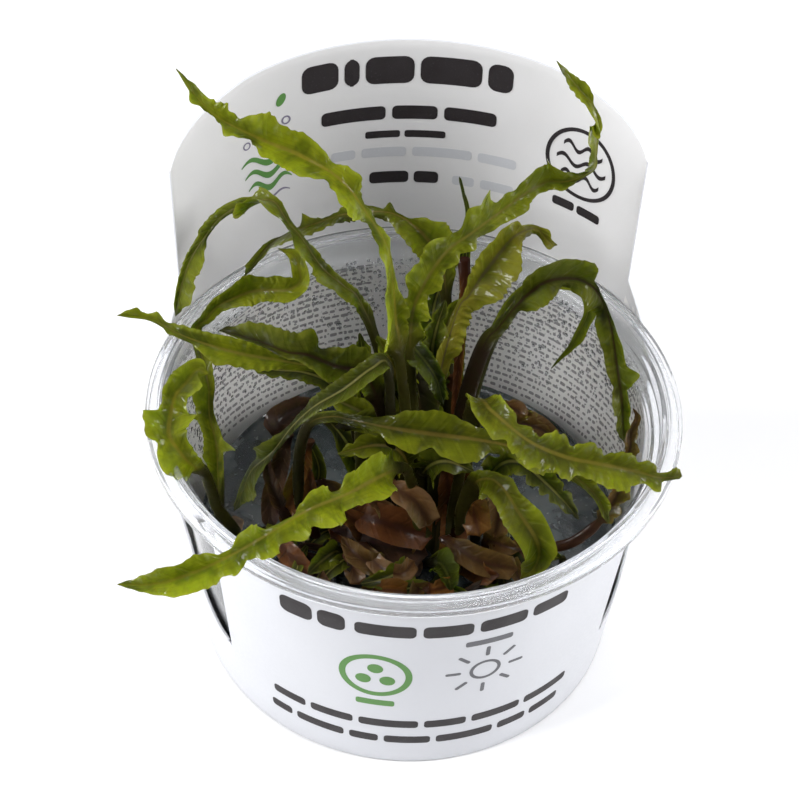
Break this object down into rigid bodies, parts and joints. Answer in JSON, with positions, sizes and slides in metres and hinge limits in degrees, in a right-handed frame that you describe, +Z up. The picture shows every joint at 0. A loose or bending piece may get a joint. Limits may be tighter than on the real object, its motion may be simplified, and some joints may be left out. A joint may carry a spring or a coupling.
{
  "type": "potted aquarium plant",
  "caption": "Clump of ruffled, narrow-leaved water plants rooted in gel in a round clear cup, with a card label wrapped round it that rises behind the rim as a tab.",
  "frame": {"origin": "centre of the flat underside of the cup, on the surface it stands on", "axes": "+Z up; the label's front faces -Y and its tall tab stands at +Y; +X is to the right seen from the label's front"},
  "size_m": [0.1055, 0.1019, 0.122],
  "materials": {
    "cup_clear": "clear moulded plastic",
    "gel": "wet dark translucent gel",
    "card_white": "coated white card",
    "crown_brown": "dark brown rootstock",
    "leaf_green": "wet olive-green leaf",
    "leaf_dark": "wet dark green leaf",
    "leaf_bright": "wet yellow-green leaf",
    "leaf_brown": "wet faded brown leaf",
    "leaf_red": "wet red-brown old leaf"
  },
  "bodies": {
    "root": {"cup": "cup_clear", "gel": "gel", "label_sleeve": "card_white", "crown_centre_left": "crown_brown", "crown_centre_right": "crown_brown", "crown_front": "crown_brown", "crown_left": "crown_brown", "crown_left_edge": "crown_brown", "crown_right": "crown_brown", "tall_left_leaf": "leaf_bright", "tall_right_leaf": "leaf_green", "left_arch_leaf": "leaf_green", "low_cross_leaf": "leaf_dark", "left_inner_leaf": "leaf_green", "left_curled_leaf": "leaf_bright", "fold_down_leaf": "leaf_green", "front_cross_leaf": "leaf_dark", "front_left_leaf": "leaf_bright", "right_reach_leaf": "leaf_bright", "front_right_leaf": "leaf_bright", "right_arch_leaf": "leaf_dark", "thin_hanging_leaf": "leaf_green", "broad_pale_leaf": "leaf_bright", "upright_shoot": "leaf_dark", "dark_pointed_leaf": "leaf_dark", "back_dark_leaf": "leaf_dark", "long_left_leaf": "leaf_green", "broad_left_leaf": "leaf_dark", "low_left_leaf": "leaf_dark", "right_wall_leaf": "leaf_brown", "right_low_leaf": "leaf_dark", "low_front_leaf_1": "leaf_bright", "low_front_leaf_2": "leaf_dark", "low_front_leaf_3": "leaf_dark", "old_tan_leaf": "leaf_brown", "old_red_leaf_1": "leaf_red", "old_red_leaf_2": "leaf_red", "old_brown_leaf_1": "leaf_brown", "old_brown_leaf_2": "leaf_brown", "old_curled_leaf": "leaf_brown", "old_stalk_1": "leaf_red", "old_stalk_2": "leaf_red", "old_back_leaf": "leaf_red", "old_orange_leaf": "leaf_brown", "old_side_leaf": "leaf_brown", "dark_floor_leaf": "leaf_red"}
  },
  "joints": []
}
